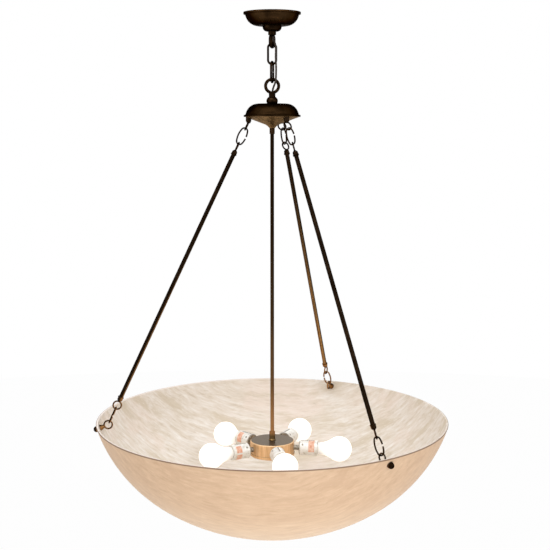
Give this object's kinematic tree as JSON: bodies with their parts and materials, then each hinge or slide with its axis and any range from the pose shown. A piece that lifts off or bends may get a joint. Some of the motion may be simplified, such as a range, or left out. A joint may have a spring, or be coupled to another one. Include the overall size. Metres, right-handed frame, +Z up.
{
  "type": "bowl pendant light",
  "caption": "Wide stone bowl hung by inclined rods and open links from a domed hub on a short chain, with a lamp cluster on a central stem.",
  "frame": {"origin": "centre of the ceiling plane, in the top of the crossbar and the rim of the canopy", "axes": "+Z up along the stem, everything hangs below the origin; -Y is the front, the view of the picture; +X to the right of it"},
  "size_m": [0.9172, 0.9134, 1.3371],
  "materials": {
    "dark_bronze": "oil rubbed dark bronze, satin",
    "aged_brass": "aged antique brass, satin",
    "plated_steel": "zinc plated",
    "cord_jacket": "brown jacket",
    "socket_aluminium": "satin",
    "socket_porcelain": "glazed",
    "rim_gasket": "matte",
    "alabaster": "honed, veined, translucent",
    "lamp_base": "plain",
    "lamp_glass": "frosted white, lit"
  },
  "bodies": {
    "canopy": {"canopy": "dark_bronze", "crossbar": "plated_steel", "canopy_nipple": "plated_steel", "canopy_locknut": "plated_steel", "canopy_collar": "dark_bronze", "canopy_loop": "dark_bronze", "supply_cord_upper": "cord_jacket"},
    "chain_upper": {"chain_link_upper": "dark_bronze", "supply_cord_middle": "cord_jacket"},
    "chain_lower": {"chain_link_lower": "dark_bronze", "supply_cord_lower": "cord_jacket"},
    "hub": {"hub_loop": "dark_bronze", "hub_collar": "dark_bronze", "hub_dome": "dark_bronze", "hub_base": "aged_brass", "hub_nipple": "plated_steel", "hub_locknut": "plated_steel", "hub_eyes": "dark_bronze", "hub_eye_nuts": "plated_steel", "stem_coupling": "dark_bronze", "stem": "aged_brass", "stem_ferrule": "aged_brass", "cluster_nipple": "plated_steel", "cluster_nuts": "plated_steel", "cluster_drum": "aged_brass", "cluster_cover": "aged_brass", "cluster_cap_nut": "aged_brass", "socket_nipples": "plated_steel", "socket_caps": "socket_aluminium", "socket_shells": "socket_aluminium", "socket_cores": "socket_porcelain"},
    "bowl": {"bowl": "alabaster", "rim_eyes": "dark_bronze", "rim_washers_inner": "rim_gasket", "rim_washers_outer": "rim_gasket", "rim_knobs": "dark_bronze"},
    "arm_1": {"upper_link_1": "dark_bronze", "rod_1": "dark_bronze", "rod_ends_1": "dark_bronze", "lower_link_1": "dark_bronze"},
    "arm_2": {"upper_link_2": "dark_bronze", "rod_2": "dark_bronze", "rod_ends_2": "dark_bronze", "lower_link_2": "dark_bronze"},
    "arm_3": {"upper_link_3": "dark_bronze", "rod_3": "dark_bronze", "rod_ends_3": "dark_bronze", "lower_link_3": "dark_bronze"},
    "bulb_1": {"bulb_base_1": "lamp_base", "bulb_glass_1": "lamp_glass"},
    "bulb_2": {"bulb_base_2": "lamp_base", "bulb_glass_2": "lamp_glass"},
    "bulb_3": {"bulb_base_3": "lamp_base", "bulb_glass_3": "lamp_glass"},
    "bulb_4": {"bulb_base_4": "lamp_base", "bulb_glass_4": "lamp_glass"},
    "bulb_5": {"bulb_base_5": "lamp_base", "bulb_glass_5": "lamp_glass"}
  },
  "joints": [
    {"name": "chain_upper_swing", "type": "hinge", "parent": "canopy", "child": "chain_upper", "pos_m": [0, 0, -0.0872], "axis": [0, 1, 0], "range_deg": [-25, 25], "deforming": ["supply_cord_upper"]},
    {"name": "chain_lower_swing", "type": "hinge", "parent": "chain_upper", "child": "chain_lower", "pos_m": [0, 0, -0.1319], "axis": [-0.9588, 0.284, 0], "range_deg": [-25, 25], "deforming": ["supply_cord_middle"]},
    {"name": "hub_swing", "type": "hinge", "parent": "chain_lower", "child": "hub", "pos_m": [0, 0, -0.1816], "axis": [0, 1, 0], "range_deg": [-15, 15], "deforming": ["supply_cord_lower"]},
    {"name": "bowl_sway", "type": "hinge", "parent": "hub", "child": "bowl", "pos_m": [0, 0, -0.14549], "axis": [0, 1, 0], "range_deg": [-3, 3]},
    {"name": "arm_1_sway", "type": "hinge", "parent": "hub", "child": "arm_1", "pos_m": [-0.06674, -0.00737, -0.28729], "axis": [0, 1, 0], "range_deg": [-3.61, 3.61]},
    {"name": "arm_2_sway", "type": "hinge", "parent": "hub", "child": "arm_2", "pos_m": [0.03975, -0.05412, -0.28729], "axis": [0, 1, 0], "range_deg": [-3.61, 3.61]},
    {"name": "arm_3_sway", "type": "hinge", "parent": "hub", "child": "arm_3", "pos_m": [0.02699, 0.06148, -0.28729], "axis": [0, 1, 0], "range_deg": [-3.61, 3.61]},
    {"name": "bulb_1_pull", "type": "slide", "parent": "hub", "child": "bulb_1", "axis": [0.9903, -0.1392, 0], "range_m": [0, 0.03]},
    {"name": "bulb_2_pull", "type": "slide", "parent": "hub", "child": "bulb_2", "axis": [0.1736, -0.9848, 0], "range_m": [0, 0.03]},
    {"name": "bulb_3_pull", "type": "slide", "parent": "hub", "child": "bulb_3", "axis": [-0.8829, -0.4695, 0], "range_m": [0, 0.03]},
    {"name": "bulb_4_pull", "type": "slide", "parent": "hub", "child": "bulb_4", "axis": [-0.7193, 0.6947, 0], "range_m": [0, 0.03]},
    {"name": "bulb_5_pull", "type": "slide", "parent": "hub", "child": "bulb_5", "axis": [0.4384, 0.8988, 0], "range_m": [0, 0.03]}
  ],
  "couplings": [
    {"joint": "arm_1_sway", "follows": "bowl_sway", "ratio": 1.1886},
    {"joint": "arm_2_sway", "follows": "bowl_sway", "ratio": 1.1886},
    {"joint": "arm_3_sway", "follows": "bowl_sway", "ratio": 1.1886}
  ]
}
